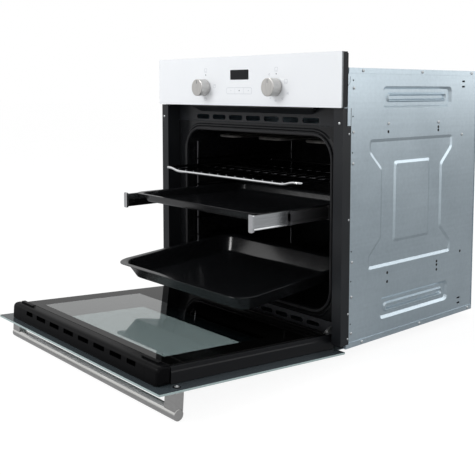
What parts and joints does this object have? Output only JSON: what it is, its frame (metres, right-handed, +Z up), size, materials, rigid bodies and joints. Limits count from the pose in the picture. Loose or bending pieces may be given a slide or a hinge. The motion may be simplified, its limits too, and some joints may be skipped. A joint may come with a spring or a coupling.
{
  "type": "built-in wall oven",
  "caption": "Built-in single wall oven, white glass front with two knobs, drop-down door shown open, with a wire shelf, a tray on telescopic runners and a deep pan drawn out.",
  "frame": {"origin": "middle of the niche floor the oven stands on, in the plane of the cabinet's front edge", "axes": "+X to the right seen from in front, +Y back into the cabinet, +Z up"},
  "size_m": [0.595, 0.9501, 0.6136],
  "materials": {
    "galvanised": "galvanised sheet, pale blue-grey, faint spangle, satin",
    "black_enamel": "black enamelled sheet, semi-gloss",
    "cavity_enamel": "black vitreous enamel, glossy",
    "tray_enamel": "black vitreous enamel, glossy, finely speckled",
    "chrome": "bright plated",
    "stainless": "brushed stainless steel, satin",
    "white_glass": "clear glass painted white on the back, polished",
    "black_glass": "black tinted display window, polished",
    "door_glass": "clear toughened glass, white printed border on the back",
    "inner_glass": "clear toughened glass with a printed black border",
    "lamp_glass": "clear ribbed lamp lens",
    "black_plastic": "black moulded plastic",
    "door_moulding": "black moulded door trim, satin",
    "hinge_steel": "zinc-plated steel",
    "runner_steel": "bright rolled steel",
    "cast_metal": "plain aluminium",
    "element_sheath": "drawn steel sheath, oxidised",
    "rope_seal": "braided glass-fibre rope"
  },
  "bodies": {
    "chassis": {"side_panel_left": "galvanised", "side_panel_right": "galvanised", "corner_rail_left": "galvanised", "corner_rail_right": "galvanised", "top_panel": "galvanised", "bottom_panel": "galvanised", "rear_panel": "galvanised", "rear_cover": "galvanised", "terminal_box": "black_plastic", "front_column_left": "black_enamel", "front_column_right": "black_enamel", "panel_bracket_left": "galvanised", "panel_bracket_right": "galvanised", "upper_front_panel": "black_enamel", "air_outlet_hood": "black_enamel", "lower_grille": "black_enamel", "hinge_claw_left": "hinge_steel", "hinge_claw_right": "hinge_steel", "cavity": "cavity_enamel", "door_gasket": "rope_seal", "cavity_rear_wall": "cavity_enamel", "fan_cover": "cavity_enamel", "fan_motor": "cast_metal", "grill_element": "element_sheath", "oven_lamp": "lamp_glass", "side_rack_left": "chrome", "side_rack_right": "chrome", "runner_outer_left": "hinge_steel", "runner_outer_right": "hinge_steel", "control_panel_glass": "white_glass", "display_window": "black_glass", "control_panel_carrier": "black_plastic", "control_box": "galvanised", "selector_switch": "black_plastic", "thermostat": "cast_metal"},
    "door": {"door_outer_glass": "door_glass", "door_inner_glass": "inner_glass", "door_side_profile_left": "door_moulding", "door_side_profile_right": "door_moulding", "door_end_cap_left": "door_moulding", "door_end_cap_right": "door_moulding", "door_top_trim": "door_moulding", "door_bottom_profile": "door_moulding", "hinge_case_left": "hinge_steel", "hinge_case_right": "hinge_steel", "handle_bar": "stainless", "handle_post_left": "stainless", "handle_post_right": "stainless"},
    "wire_shelf": {"wire_shelf": "chrome"},
    "runner_middle": {"runner_middle_left": "hinge_steel", "runner_middle_right": "hinge_steel"},
    "tray": {"shallow_tray": "tray_enamel", "runner_inner_left": "runner_steel", "runner_inner_right": "runner_steel", "runner_cap_left": "chrome", "runner_cap_right": "chrome"},
    "deep_pan": {"deep_pan": "tray_enamel"},
    "fan": {"fan_impeller": "cast_metal"},
    "knob_left": {"knob_left": "stainless"},
    "knob_right": {"knob_right": "stainless"}
  },
  "joints": [
    {"name": "door_hinge", "type": "hinge", "parent": "chassis", "child": "door", "pos_m": [0, -0.003, 0.028], "axis": [-1, 0, 0], "range_deg": [0, 86]},
    {"name": "shelf_slide", "type": "slide", "parent": "chassis", "child": "wire_shelf", "axis": [0, 1, 0], "range_m": [0, 0.1001]},
    {"name": "runner_slide", "type": "slide", "parent": "chassis", "child": "runner_middle", "axis": [0, 1, 0], "range_m": [0, 0.1026]},
    {"name": "tray_slide", "type": "slide", "parent": "chassis", "child": "tray", "axis": [0, 1, 0], "range_m": [0, 0.2051]},
    {"name": "pan_slide", "type": "hinge", "parent": "chassis", "child": "deep_pan", "pos_m": [0, 0.16411, -3.4166], "axis": [-1, 0, 0], "range_deg": [0, 4.51]},
    {"name": "fan_spin", "type": "hinge", "parent": "chassis", "child": "fan", "pos_m": [0, 0.42, 0.248], "axis": [0, 1, 0], "continuous": true},
    {"name": "function_knob", "type": "hinge", "parent": "chassis", "child": "knob_left", "pos_m": [-0.117, -0.031, 0.527], "axis": [0, 1, 0], "continuous": true},
    {"name": "thermostat_knob", "type": "hinge", "parent": "chassis", "child": "knob_right", "pos_m": [0.117, -0.031, 0.527], "axis": [0, 1, 0], "range_deg": [0, 270]}
  ],
  "couplings": [
    {"joint": "shelf_slide", "follows": "door_hinge", "m_per_rad": 0.066623},
    {"joint": "runner_slide", "follows": "door_hinge", "m_per_rad": 0.068289},
    {"joint": "tray_slide", "follows": "door_hinge", "m_per_rad": 0.13658},
    {"joint": "pan_slide", "follows": "door_hinge", "ratio": 0.052326}
  ]
}
